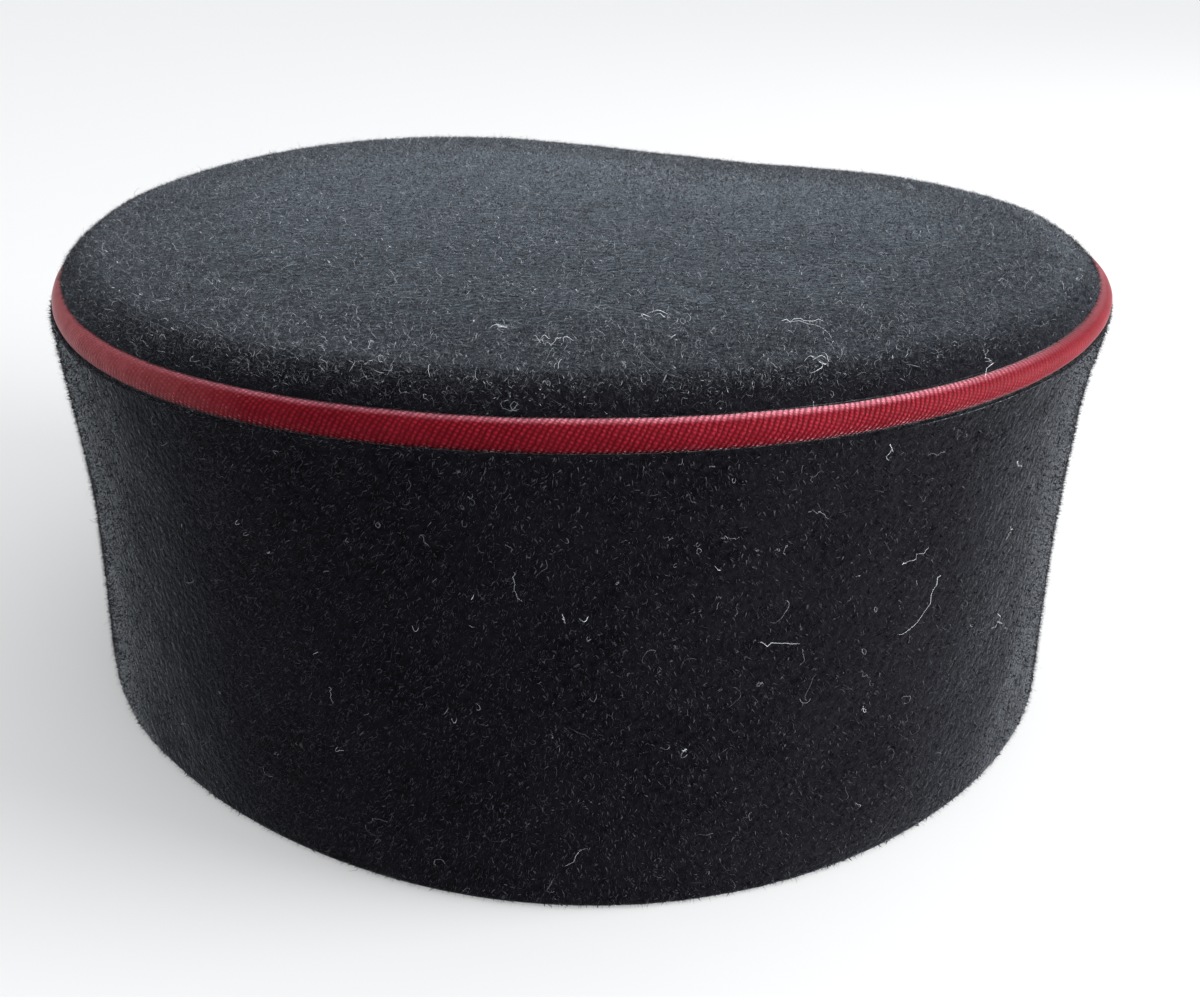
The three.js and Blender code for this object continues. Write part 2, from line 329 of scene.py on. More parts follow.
# Camera, from the photo's outlines: its place, and its angles in degrees
EYE = (0.00001, -0.24705, 0.14397)
LOOK_DOWN = 25.609
LOOK_RIGHT = 0.996
LEAN = 1.718
IMAGE_WIDTH = 1200
FOCAL_PIXELS = 1300
SENSOR_WIDTH = 36

# Sky: where it is brightest, and its strength there and on the other side
SKY_AXIS = (0.55, -0.15, 0.82)
SKY_BRIGHT = 2.1
SKY_DIM = 0.5
SKY_FADE = (0.0, 0.9)  # cosines of the angles from there where it is dimmest and brightest
SKY_COLOUR = (0.96, 0.98, 1.0, 1)
SOFTBOX = dict(place=(1.04, -0.15, 0.24), target=(0, 0, 0.06), size=0.7, power=35)
FLOOR_GLOW = 0.25  # the table is lit a little from below
FLOOR_REACH = 8.0

random = np.random.default_rng(11)


# Shape of the cap


def lerp(start, stop, share):
    return start + (stop - start) * share


def smoothstep(value, low, high):
    share = np.clip((value - low) / (high - low), 0, 1)
    return share * share * (3 - 2 * share)


def unit(vectors):
    return vectors / np.linalg.norm(vectors, axis=-1, keepdims=True)


def places(radius, height):
    """Section points as rows of radius and height."""
    return np.stack(np.broadcast_arrays(radius, height), axis=-1).reshape(-1, 2).astype(float)


def arc(middle, radius, start, stop, count):
    """Section points on an arc between two angles in radians."""
    angle = np.linspace(start, stop, count)
    return places(middle[0] + radius * np.cos(angle), middle[1] + radius * np.sin(angle))


def bead_arc(radius, start, stop, count):
    points = arc((0, SEAM_HEIGHT), radius, start, stop, count)
    return points * (BEAD_FLAT, 1) + (SEAM_RADIUS, 0)


def wall_radius(height):
    """Mean outer radius of the side wall at a height."""
    share = height / (SEAM_HEIGHT - BEAD_RADIUS)
    straight = lerp(HEM_RADIUS, FLUSH_RADIUS - WALL_FLARE, share)
    return straight - WALL_WAIST * np.sin(share * np.pi) + WALL_FLARE * share**FLARE_POWER


def wall_section():
    """Section of the side wall from the hem up, and the rows of its outer face and of its seam."""
    seat_start = -np.radians(SEAT_OPEN)
    shoulder = SEAM_HEIGHT + SEAT_RADIUS * np.sin(seat_start) - EDGE_ROUND
    lip_top = SEAM_HEIGHT - LIP_LEVEL
    lip_under = lip_top - WALL_THICK
    rise = lerp(shoulder, HEM_ROUND, np.linspace(1, 0, WALL_ROWS) ** 2)
    fall = np.linspace(lip_under - WALL_THICK, HEM_ROUND, INSIDE_ROWS)
    outer_hem = (HEM_RADIUS - HEM_ROUND, HEM_ROUND)
    inner_hem = (HEM_RADIUS - WALL_THICK + HEM_ROUND, HEM_ROUND)
    face = np.concatenate([
        arc(outer_hem, HEM_ROUND, -RIGHT_ANGLE, 0, ARC_ROWS)[:-1],
        places(wall_radius(rise), rise),
        arc((wall_radius(shoulder) - EDGE_ROUND, shoulder), EDGE_ROUND, 0, RIGHT_ANGLE, ARC_ROWS)[1:],
    ])
    inner_face = wall_radius(fall) - WALL_THICK
    bend = lerp(LIP_RADIUS, inner_face[0], LIP_CORNER)
    rest = np.concatenate([
        bead_arc(SEAT_RADIUS, seat_start, -LIP_ANGLE, 2 * ARC_ROWS)[1:],
        places([LIP_RADIUS, LIP_RADIUS, bend], [lip_top, lip_under, lip_under - WALL_THICK / 4]),
        places(inner_face, fall),
        arc(inner_hem, HEM_ROUND, np.pi, 3 * RIGHT_ANGLE, ARC_ROWS)[1:],
    ])
    seam = slice(len(face) - ARC_ROWS // 2, len(face) + 2 * ARC_ROWS)
    return np.concatenate([face, rest]), slice(0, len(face)), seam


def crown_section():
    """Section of the crown from the axis under it to the axis on top, with rows as in wall_section()."""
    def roll(angle, inset):
        return places(
            ROLL_MIDDLE + (CROWN_ROLL - inset) * np.cos(angle),
            SEAM_HEIGHT + (CROWN_RISE - inset) * np.sin(angle),
        )

    rim_start = np.arcsin((SEAT_RADIUS + FOOT_LIFT * FOOT_ROUND) / CROWN_RISE)
    rim_slope = np.arctan2(np.sin(rim_start) / CROWN_RISE, np.cos(rim_start) / CROWN_ROLL)
    lip_angle = np.arccos((LIP_RADIUS - ROLL_MIDDLE) / (CROWN_ROLL - CROWN_THICK))
    outer_roll = roll(np.linspace(rim_start, RIGHT_ANGLE, ROLL_ROWS), 0)
    inner_roll = roll(np.linspace(RIGHT_ANGLE, lip_angle, ROLL_ROWS // 2), CROWN_THICK)
    foot_middle = outer_roll[0] - FOOT_ROUND * np.array([np.cos(rim_slope), np.sin(rim_slope)])
    foot = arc(foot_middle, FOOT_ROUND, -RIGHT_ANGLE, rim_slope, ARC_ROWS)
    radius = np.linspace(ROLL_MIDDLE, POLE_RADIUS, TOP_ROWS + 1)[1:]
    top = places(radius, SEAM_HEIGHT + CROWN_RISE + CROWN_DOME * (1 - (radius / ROLL_MIDDLE) ** 2))
    under = top[::-UNDER_STEP] - (0, CROWN_THICK)
    seat_end = np.arctan2(foot[0][1] - SEAM_HEIGHT, foot[0][0] - SEAM_RADIUS)
    hidden = np.concatenate([
        under,
        inner_roll,
        places(LIP_RADIUS, SEAM_HEIGHT + LIP_LEVEL),
        bead_arc(SEAT_RADIUS, LIP_ANGLE, seat_end, ARC_ROWS)[:-1],
    ])
    seam = slice(len(hidden) - ARC_ROWS, len(hidden) + ARC_ROWS - 1)
    return np.concatenate([hidden, foot[:-1], outer_roll, top]), slice(len(hidden), None), seam


def lobe_offset(rows, bearing):
    return sum(row["out"] * np.cos(row["lobes"] * (bearing - np.radians(row["bearing"]))) for row in rows)


def dent_depth(x, y):
    depth = np.zeros_like(x)
    for dent in CROWN_DENTS:
        bearing = np.radians(dent["bearing"])
        away = np.hypot(x - dent["radius"] * np.cos(bearing), y - dent["radius"] * np.sin(bearing))
        depth += dent["depth"] * np.exp(-((away / dent["spread"]) ** 2))
    return depth


def reshape(points):
    """Gives points on a round cap the plan, waves and dents of this one."""
    x, y, z = np.moveaxis(points, -1, 0)
    bearing = np.arctan2(y, x)
    reach = np.hypot(x, y) / SEAM_RADIUS
    share = np.clip(z / SEAM_HEIGHT, 0, 1)
    plan = lerp(lobe_offset(HEM_LOBES, bearing), lobe_offset(SEAM_LOBES, bearing), share)
    bulge = np.sin(np.pi * share**BULGE_POWER) * lobe_offset(WALL_BULGE, bearing)
    rim = (z > RIM_LEVEL) * lobe_offset(CROWN_LOBES, bearing)
    grow = 1 + (plan + bulge + rim) / SEAM_RADIUS
    plump = np.clip((z - SEAM_HEIGHT) / SEAT_RADIUS, -1, 1) * lobe_offset(CORD_LOBES, bearing)
    wave = share * reach**2 * (lobe_offset(SEAM_WAVES, bearing) + plump)
    lift = smoothstep(z - SEAM_HEIGHT, DENT_FOOT, CROWN_RISE)
    height = z + wave - lift * dent_depth(x, y)
    return np.stack([x * grow + PLAN_SHIFT[0], y * grow + PLAN_SHIFT[1], height], axis=-1)


def turn(section, around):
    """Grid of points, a row for each section point and a column for each bearing."""
    bearing = np.linspace(0, FULL_TURN, around, endpoint=False)
    radius, height = section[:, 0, None], section[:, 1, None]
    round_cap = [radius * np.cos(bearing), radius * np.sin(bearing), height + 0 * bearing]
    return reshape(np.stack(round_cap, axis=-1))


def grid_normals(grid):
    """Outward normals of a grid from turn()."""
    around = np.roll(grid, -1, axis=1) - np.roll(grid, 1, axis=1)
    return unit(np.cross(around, np.gradient(grid, axis=0)))


def way_along(grid):
    """Mean distance along the section from a grid's first row to each row."""
    steps = np.linalg.norm(np.diff(grid, axis=0), axis=2).mean(axis=1)
    return np.concatenate([[0], np.cumsum(steps)])


def swell(points, size, height):
    """Smooth random rise and fall over points: waves of about that size in random directions."""
    direction = unit(random.normal(size=(SWELL_WAVES, 3)))
    length = size * random.uniform(*SWELL_SPREAD, SWELL_WAVES)
    start = random.uniform(0, FULL_TURN, SWELL_WAVES)
    heights = np.sin(points @ (direction * FULL_TURN / length[:, None]).T + start)
    return height * heights.sum(axis=-1) / np.sqrt(SWELL_WAVES / 2)


# Meshes


def add_object(name, points, faces):
    mesh = bpy.data.meshes.new(name)
    mesh.from_pydata(points.reshape(-1, 3).tolist(), [], faces)
    mesh.update()
    piece = bpy.data.objects.new(name, mesh)
    bpy.context.scene.collection.objects.link(piece)
    return piece


def turned_piece(name, grid, closed):
    """Mesh of a grid: a ring if the section is closed, or else a cap whose ends meet on the axis."""
    rows, around = grid.shape[:2]
    index = np.arange(rows * around).reshape(rows, around)
    if closed:
        index = np.concatenate([index, index[:1]])
    beside = np.roll(index, -1, axis=1)
    quads = np.stack([index[:-1], beside[:-1], beside[1:], index[1:]], axis=-1).reshape(-1, 4).tolist()
    points = grid.reshape(-1, 3)
    across = np.linspace(0, 1, around + 1)
    way = way_along(np.concatenate([grid, grid[:1]]) if closed else grid)
    level = way / way[-1]
    corners = np.stack(np.broadcast_arrays(
        np.stack([across[:-1], across[1:], across[1:], across[:-1]], axis=-1)[None],
        np.stack([level[:-1], level[:-1], level[1:], level[1:]], axis=-1)[:, None],
    ), axis=-1).reshape(-1, 2)
    faces = quads
    if not closed:
        first, last = len(points), len(points) + 1
        points = np.concatenate([points, [grid[0].mean(axis=0), grid[-1].mean(axis=0)]])
        faces = quads + [[after, here, first] for here, after in zip(index[0], beside[0])]
        faces += [[here, after, last] for here, after in zip(index[-1], beside[-1])]
        spans = list(zip(across[:-1], across[1:], (across[:-1] + across[1:]) / 2))
        under = [places([right, left, middle], 0) for left, right, middle in spans]
        over = [places([left, right, middle], 1) for left, right, middle in spans]
        corners = np.concatenate([corners, *under, *over])
    piece = add_object(name, points, faces)
    piece.data.uv_layers.new(name="OFBake").data.foreach_set("uv", corners.ravel())
    piece.data.shade_smooth()
    return piece


def strand_points(paths, radii, facing):
    """Corners of flat strands along the paths, turned to face a way and drawn to a point at their end."""
    ahead = unit(np.gradient(paths, axis=1))[:, :-1]
    side = unit(np.cross(ahead, facing))
    taper = np.linspace(1, STRAND_TAPER, paths.shape[1])[:-1]
    reach = side * radii[:, None, None] * taper[:, None]
    edges = np.stack([paths[:, :-1] - reach, paths[:, :-1] + reach], axis=2)
    return np.concatenate([edges.reshape(len(paths), -1, 3), paths[:, -1:]], axis=1)


def strand_faces(steps):
    """Triangles of one strand from strand_points(): two for each stretch, and one at the tip."""
    last = 2 * (steps - 2)
    faces = [[last, last + 1, last + 2]]
    for left in range(0, last, 2):
        faces += [[left, left + 1, left + 3], [left, left + 3, left + 2]]
    return np.array(faces)


def strand_piece(name, paths, radii, facing, materials, tints):
    """One joined mesh of strands, each in the material that its tint gives."""
    pattern = strand_faces(paths.shape[1])
    points = strand_points(paths, radii, facing)
    offset = np.arange(len(paths)) * points.shape[1]
    faces = (pattern[None] + offset[:, None, None]).reshape(-1, 3)
    piece = add_object(name, points, faces.tolist())
    for material in materials:
        piece.data.materials.append(material)
    piece.data.polygons.foreach_set("material_index", np.repeat(tints, len(pattern)).astype(np.int32))
    piece.data.shade_smooth()
    return piece


class Skin:
    """The outer face of a turned piece, where the nap grows and the lint lies."""

    def __init__(self, grid, level):
        self.grid = grid
        self.level = level
        self.order = 1 if level[-1] > level[0] else -1
        self.normals = grid_normals(grid)
        self.way = way_along(grid)
        self.girth = np.linalg.norm(grid - np.roll(grid, 1, axis=1), axis=2).sum(axis=1)

    def at(self, bearing, along):
        """Points and normals at bearings and distances along the section."""
        rows, around = self.grid.shape[:2]
        row = np.interp(along, self.way, np.arange(rows))
        column = bearing / FULL_TURN * around
        low = np.minimum(row.astype(int), rows - 2)
        left = np.floor(column).astype(int)
        up, right = (row - low)[..., None], (column - left)[..., None]
        found = []
        for values in (self.grid, self.normals):
            lower = lerp(values[low, left % around], values[low, (left + 1) % around], right)
            upper = lerp(values[low + 1, left % around], values[low + 1, (left + 1) % around], right)
            found.append(lerp(lower, upper, up))
        return found[0], unit(found[1])

    def scatter(self, count, width=None, bare=0.0, sides=False):
        """Bearings and distances along the section, spread over the face, or thinning out over a width.

        Over the bare stretch at the start of the face they thin out towards its edge, but not on the left:
        on the crown's foot this is painted shade, and keeping them on the left is painted light.
        With sides they thin out towards the cap's front and back.
        """
        area = np.concatenate([[0], np.cumsum(np.diff(self.way) * (self.girth[1:] + self.girth[:-1]) / 2)])
        covered = np.interp(width or self.way[-1], self.way, area)
        along = np.interp(random.uniform(0, covered, count), area, self.way)
        bearing = random.uniform(0, FULL_TURN, count)
        # Thinning the pale fibres at the crown's foot paints shade there; keeping them on the left paints
        # light.
        keep = random.uniform(0, bare, count) * np.minimum(1 + np.cos(bearing), 1) <= along
        if width:
            keep &= random.uniform(size=count) >= smoothstep(along, THIN_FROM * width, width)
        if sides:
            keep &= random.uniform(size=count) <= np.abs(np.cos(bearing))
        return bearing[keep], along[keep]

    def frames(self, bearing, along):
        """Points on the face, with the directions out of it, around the cap and up the face."""
        root, normal = self.at(bearing, along)
        around = np.stack([-np.sin(bearing), np.cos(bearing), 0 * bearing], axis=-1)
        return root, normal, around, np.cross(normal, around)

    def nap_paths(self, count, length, lean, **spread):
        """Straight fibres that grow out of the face and lean over in swirls."""
        root, normal, around, uphill = self.frames(*self.scatter(count, **spread))
        count = len(root)
        swirl = swell(root, **NAP_SWIRL) + random.normal(size=count) * NAP_STRAY
        heading = np.cos(swirl)[:, None] * around + np.sin(swirl)[:, None] * uphill
        tilt = np.radians(random.uniform(*lean, count))[:, None]
        reach = random.uniform(*length, count)[:, None]
        tip = root + reach * (np.cos(tilt) * normal + np.sin(tilt) * heading)
        return np.stack([root - normal * FIBRE_RADIUS[1], tip], axis=1)

    def curl_paths(self, count, **spread):
        """Fibres that leave the face, bend over and turn, a row of points for each."""
        root, normal, around, uphill = self.frames(*self.scatter(count, **spread))
        count = len(root)
        step_length = random.gamma(CURL_SHAPE, CURL_LENGTH / CURL_SHAPE, count)[:, None] / (CURL_STEPS - 1)
        tilt = np.radians(random.uniform(*CURL_LEAN, count))[:, None]
        bend = np.radians(random.uniform(*CURL_BEND, count))[:, None]
        start = random.uniform(0, FULL_TURN, count)[:, None]
        drift = np.radians(random.uniform(*CURL_DRIFT, count))[:, None]
        path = [root - normal * FIBRE_RADIUS[1]]
        for step in range(CURL_STEPS - 1):
            swing = start + step * drift
            heading = np.cos(swing) * around + np.sin(swing) * uphill
            lean = tilt + step * bend
            path.append(path[-1] + step_length * (np.cos(lean) * normal + np.sin(lean) * heading))
        return np.stack(path, axis=1)

    def wander_paths(self, bearing, along, length, curl):
        """Loose fibres that lie on the face, each a wandering line from its place."""
        count = len(bearing)
        heading = random.uniform(0, FULL_TURN, count)
        turning = random.normal(size=count) * curl
        step_length = length / (LINT_STEPS - 1)
        hover = random.uniform(*LOOSE_HOVER, count)
        path = []
        for step in range(LINT_STEPS):
            along = np.clip(along, self.way[0], self.way[-1])
            point, normal = self.at(bearing, along)
            sway = 1 - HOVER_SWAY + HOVER_SWAY * np.sin(SWAY_STEP * step + bearing)
            path.append(point + normal * (hover * sway)[:, None])
            girth = np.interp(along, self.way, self.girth)
            bearing = bearing + step_length * np.cos(heading) * FULL_TURN / np.maximum(girth, LEAST_GIRTH)
            along = along + step_length * np.sin(heading)
            heading = heading + turning + random.normal(size=count) * curl
        return np.stack(path, axis=1)

    def placed_path(self, spots):
        """One loose fibre through spots on the face, each a bearing in degrees and a level."""
        bearing, level = np.array(spots).T
        along = np.interp(level, self.level[::self.order], self.way[::self.order])
        share = np.linspace(0, 1, LINT_STEPS)
        knots = np.linspace(0, 1, len(spots))
        smooth = [np.interp(share, knots, values) for values in (np.radians(bearing), along)]
        ends = len(SOFT_BEND) // 2
        smooth = [np.convolve(np.pad(values, ends, mode="edge"), SOFT_BEND, "valid") for values in smooth]
        point, normal = self.at(*smooth)
        wobble = random.normal(size=(LINT_STEPS, 3)) * PLACED_WOBBLE
        return point + normal * PLACED_HOVER + wobble


# Materials


def new_material(name):
    material = bpy.data.materials.new(name)
    material.use_nodes = True
    shader = next(node for node in material.node_tree.nodes if node.type == "BSDF_PRINCIPLED")
    return material, material.node_tree, shader


def add_node(tree, kind, inputs=None, **settings):
    """A node with its settings; inputs maps socket names to values or to sockets to link from."""
    node = tree.nodes.new(kind)
    for name, value in settings.items():
        setattr(node, name, value)
    for name, value in (inputs or {}).items():
        if isinstance(value, bpy.types.NodeSocket):
            tree.links.new(value, node.inputs[name])
        else:
            node.inputs[name].default_value = value
    return node


def calculate(tree, operation, first, second=0.0, third=0.0):
    node = add_node(tree, "ShaderNodeMath", {0: first, 1: second, 2: third}, operation=operation)
    return node.outputs[0]


def remap(tree, value, low, high, to_low=0.0, to_high=1.0, smooth=False):
    kind = "SMOOTHSTEP" if smooth else "LINEAR"
    inputs = {"Value": value, "From Min": low, "From Max": high, "To Min": to_low, "To Max": to_high}
    return add_node(tree, "ShaderNodeMapRange", inputs, interpolation_type=kind).outputs["Result"]


def noise(tree, where, size, detail=2.0, rough=0.5, distortion=0.0):
    """Noise whose features are about that size in metres."""
    inputs = {"Vector": where, "Scale": 1 / size, "Detail": detail, "Roughness": rough,
              "Distortion": distortion}
    return add_node(tree, "ShaderNodeTexNoise", inputs).outputs["Fac"]


def mix_colours(tree, share, first, second):
    node = add_node(tree, "ShaderNodeMix", {"Factor": share}, data_type="RGBA")
    for socket, colour in (("A", first), ("B", second)):
        target = next(found for found in node.inputs if found.name == socket and found.type == "RGBA")
        if isinstance(colour, bpy.types.NodeSocket):
            tree.links.new(colour, target)
        else:
            target.default_value = (*colour, 1)
    return next(found for found in node.outputs if found.type == "RGBA")


def set_relief(tree, shader, height, depth, strength=1.0):
    """Gives a shader relief from a height between 0 and 1, over a depth in metres."""
    bump = add_node(tree, "ShaderNodeBump", {"Strength": strength, "Distance": depth, "Height": height})
    tree.links.new(bump.outputs["Normal"], shader.inputs["Normal"])


def set_shader(shader, **values):
    """Sets sockets that are the same all over; a name's underscores stand for spaces."""
    for name, value in values.items():
        shader.inputs[name.replace("_", " ")].default_value = value


def felt_material(name, sheen, spread, tint):
    """Black wool felt: matted clumps in relief, and a cool sheen that spreads from grazing angles."""
    material, tree, shader = new_material(name)
    where = add_node(tree, "ShaderNodeTexCoord").outputs["Object"]
    clumps = noise(tree, where, CLUMP_SIZE, detail=3, rough=0.6)
    set_relief(tree, shader, clumps, FELT_RELIEF)
    wool = mix_colours(tree, remap(tree, clumps, *SHARP_SPREAD), FELT_DEEP, FELT_CLUMP)
    worn = remap(tree, noise(tree, where, PATCH_SIZE), *UPPER_SPREAD, 0.0, MOST_WORN)
    tree.links.new(mix_colours(tree, worn, wool, FELT_WORN), shader.inputs["Base Color"])
    set_shader(shader, Roughness=1.0, Specular_IOR_Level=0.0, Sheen_Weight=sheen, Sheen_Roughness=spread,
               Sheen_Tint=(*tint, 1))
    return material


def fibre_material(name, colour):
    """A loose wool fibre, one tint along its length."""
    material, _, shader = new_material(name)
    set_shader(shader, Base_Color=(*colour, 1), Roughness=0.75, Specular_IOR_Level=0.15)
    return material


def twill_material():
    """Dark red twill: slanting ribs of short floats, pale on top from wear and a painted highlight; faded
    at the sides, and pale at the left end from dust and a painted sheen.
    """
    material, tree, shader = new_material("piping_twill")
    weave = add_node(tree, "ShaderNodeUVMap", uv_map="Weave").outputs["UV"]
    where = add_node(tree, "ShaderNodeTexCoord").outputs["Object"]
    axes = add_node(tree, "ShaderNodeSeparateXYZ", {0: weave})
    across = axes.outputs["X"]
    for wobble in (SLOW_WOBBLE, QUICK_WOBBLE):
        stray = wobble["stray"]
        aside = calculate(tree, "MULTIPLY_ADD", noise(tree, where, wobble["size"]), 2 * stray, -stray)
        across = calculate(tree, "ADD", across, aside)
    along = calculate(tree, "MULTIPLY_ADD", across, FLOAT_SHIFT, axes.outputs["Y"])

    def ridge(value):
        turned = calculate(tree, "MULTIPLY", value, FULL_TURN)
        return calculate(tree, "MULTIPLY_ADD", calculate(tree, "COSINE", turned), 0.5, 0.5)

    cell = add_node(tree, "ShaderNodeCombineXYZ", {
        "X": calculate(tree, "ROUND", across),
        "Y": calculate(tree, "ROUND", along),
    })
    chance = add_node(tree, "ShaderNodeTexWhiteNoise", {"Vector": cell.outputs[0]}, noise_dimensions="2D")
    floats = calculate(tree, "MULTIPLY_ADD", ridge(along), FLOAT_DEPTH, 1 - FLOAT_DEPTH)
    lattice = calculate(tree, "MULTIPLY", ridge(across), floats)
    yarn = calculate(tree, "MULTIPLY", calculate(tree, "POWER", lattice, YARN_ROUND),
                     remap(tree, chance.outputs["Value"], 0, 1, *YARN_CHANCE))
    fuzz = noise(tree, where, TWILL_FUZZ["size"])
    relief = calculate(tree, "MULTIPLY_ADD", fuzz, TWILL_FUZZ["height"], yarn)
    sideways = add_node(tree, "ShaderNodeSeparateXYZ", {0: where}).outputs["X"]
    # At the left end the red is painted paler: dust, and a painted sheen where the cord is seen at a slant.
    dust_and_sheen = remap(tree, sideways, *DUST_AND_SHEEN_LEFT)
    faint = calculate(tree, "MAXIMUM", dust_and_sheen, remap(tree, sideways, *SMOOTH_RIGHT))
    crispness = remap(tree, faint, 0, 1, 1, FAINT_WEAVE)
    # Where the weave fades, a plainer, darker mottling shows; at the right end it is painted shade.
    mottle = noise(tree, where, PLAIN_YARN["size"], detail=3)
    plain = remap(tree, mottle, *EVEN_SPREAD, 0.0, PLAIN_YARN["most"])
    clear = calculate(tree, "MULTIPLY", yarn, crispness)
    yarn = calculate(tree, "MULTIPLY_ADD", plain, calculate(tree, "SUBTRACT", 1.0, crispness), clear)
    set_relief(tree, shader, relief, TWILL_RELIEF, crispness)
    thread = mix_colours(tree, yarn, RED_DEEP, RED_RIB)
    clouds = noise(tree, where, FADED_PATCH["size"], detail=3)
    faded = remap(tree, clouds, *UPPER_SPREAD, 0.0, FADED_PATCH["most"])
    dyed = mix_colours(tree, faded, thread, RED_FADED)
    # The cord's top is painted paler where light from above falls on it: a painted highlight, on top of its
    # wear.
    top = remap(tree, axes.outputs["Y"], WEAR_AND_HIGHLIGHT_FROM * BEAD_RADIUS / FLOAT_LENGTH,
                WEAR_AND_HIGHLIGHT_TO * BEAD_RADIUS / FLOAT_LENGTH, smooth=True)
    worn = calculate(tree, "MULTIPLY", calculate(tree, "MULTIPLY", top, crispness),
                     remap(tree, yarn, 0, 1, *WEAR_AND_HIGHLIGHT_SHARE))
    clean = mix_colours(tree, worn, dyed, RED_WEAR_AND_HIGHLIGHT)
    patches = noise(tree, where, DUST_AND_SHEEN_PATCH["size"], detail=3)
    dust_and_sheen_cover = calculate(tree, "MULTIPLY", dust_and_sheen, remap(tree, patches, *EVEN_SPREAD, *DUST_AND_SHEEN_PATCH["shares"]))
    dust_and_sheen_colour = mix_colours(tree, plain, DUST_AND_SHEEN_DEEP, DUST_AND_SHEEN_PALE)
    tree.links.new(mix_colours(tree, dust_and_sheen_cover, clean, dust_and_sheen_colour), shader.inputs["Base Color"])
    set_shader(shader, Roughness=0.6, Specular_IOR_Level=0.03, Sheen_Weight=0.4, Sheen_Roughness=0.24,
               Sheen_Tint=(1.0, 0.72, 0.76, 1))
    return material


def floor_material():
    material, _, shader = new_material("pale_floor")
    set_shader(shader, Base_Color=(0.4, 0.4, 0.4, 1), Roughness=0.9, Specular_IOR_Level=0.1,
               Emission_Color=(1, 1, 1, 1), Emission_Strength=FLOOR_GLOW)
    return material


# Pieces


def dress(piece, node, material):
    """Gives a piece its material, and makes it stand for a node of the frame."""
    piece.data.materials.append(material)
    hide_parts(node)
    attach(piece, "root")


def press_seam(piece, rows, material):
    """Gives the rows that are turned into the seam their own material, for felt pressed flat."""
    piece.data.materials.append(material)
    chosen = np.zeros(len(piece.data.polygons), dtype=np.int32)
    chosen[rows.start * FELT_AROUND:rows.stop * FELT_AROUND] = 1
    piece.data.polygons.foreach_set("material_index", chosen)


def soften(grid, face, waves, fade):
    """Adds the felt's slow unevenness to an outer face, with a share for each row from fade()."""
    rows = grid[face]
    height = sum(swell(rows, **wave) for wave in waves)
    share = fade(np.linspace(0, 1, len(rows)))
    grid[face] = rows + grid_normals(rows) * (share[:, None] * height)[..., None]


def make_wall(felt, pressed):
    def fade(way):
        return smoothstep(way, 0, WALL_FADE) * (1 - smoothstep(way, 1 - WALL_FADE, 1))

    section, face, seam = wall_section()
    grid = turn(section, FELT_AROUND)
    soften(grid, face, WALL_SWELL, fade)
    piece = turned_piece("side_wall_felt", grid, closed=True)
    dress(piece, "side_wall", felt)
    press_seam(piece, seam, pressed)
    edge = grid[face.stop - ARC_ROWS:face.stop + ARC_ROWS]
    return piece, [Skin(rows, rows[..., 2].mean(axis=1)) for rows in (grid[face], edge)]


def make_crown(felt, pressed):
    def fade(way):
        return smoothstep(way, 0, CROWN_FADE)

    section, face, seam = crown_section()
    grid = turn(section, FELT_AROUND)
    soften(grid, face, CROWN_SWELL, fade)
    piece = turned_piece("crown_felt", grid, closed=False)
    dress(piece, "crown", felt)
    press_seam(piece, seam, pressed)
    return piece, Skin(grid[face], np.hypot(grid[face][..., 0], grid[face][..., 1]).mean(axis=1))


def make_piping(twill):
    """The piping: a cord in a bias strip, with the strip's ribs standing out of its round side."""
    half = FLANGE_THICK / 2
    root = np.pi - np.arcsin(half / BEAD_RADIUS)
    edge = LIP_RADIUS + GAP
    angle = np.linspace(-root, root, BEAD_ROWS)
    around = WALES * STEPS_A_WALE
    ribs = np.arange(around) / STEPS_A_WALE
    slant = angle * BEAD_RADIUS * WALE_SLANT * WALES / (FULL_TURN * SEAM_RADIUS)
    phase = ribs[None] + slant[:, None]
    bearing = ribs / WALES * FULL_TURN
    plump = sum(row["height"] * np.sin(row["waves"] * bearing + row["start"]) for row in CORD_RIPPLES)
    sideways = SEAM_RADIUS * np.cos(bearing)
    crisp = 1 - np.maximum(smoothstep(sideways, *DUST_AND_SHEEN_LEFT), smoothstep(sideways, *SMOOTH_RIGHT))
    shown = crisp * smoothstep(np.cos(angle), *RIB_FADE)[:, None]
    radius = BEAD_RADIUS + shown * (plump + WALE_HEIGHT * (0.5 * np.cos(FULL_TURN * phase) - 0.5))
    out = SEAM_RADIUS + BEAD_FLAT * radius * np.cos(angle)[:, None]
    height = SEAM_HEIGHT + radius * np.sin(angle)[:, None]
    flat = np.ones((1, around))
    out = np.concatenate([edge * flat, out, edge * flat])
    height = np.concatenate([(SEAM_HEIGHT - half) * flat, height, (SEAM_HEIGHT + half) * flat])
    grid = reshape(np.stack([out * np.cos(bearing), out * np.sin(bearing), height], axis=-1))
    piece = turned_piece("piping_cord", grid, closed=True)
    rows = np.concatenate([[-root], angle, [root, -root]])
    along = np.arange(around + 1) / STEPS_A_WALE
    slants = rows * BEAD_RADIUS * WALE_SLANT * WALES / (FULL_TURN * SEAM_RADIUS)
    across = along[None] + slants[:, None]
    up = (rows * BEAD_RADIUS / FLOAT_LENGTH)[:, None] + 0 * across
    spot = np.stack([across, up], axis=-1)
    corners = np.stack([spot[:-1, :-1], spot[:-1, 1:], spot[1:, 1:], spot[1:, :-1]], axis=2)
    piece.data.uv_layers.new(name="Weave").data.foreach_set("uv", corners.ravel())
    dress(piece, "piping", twill)


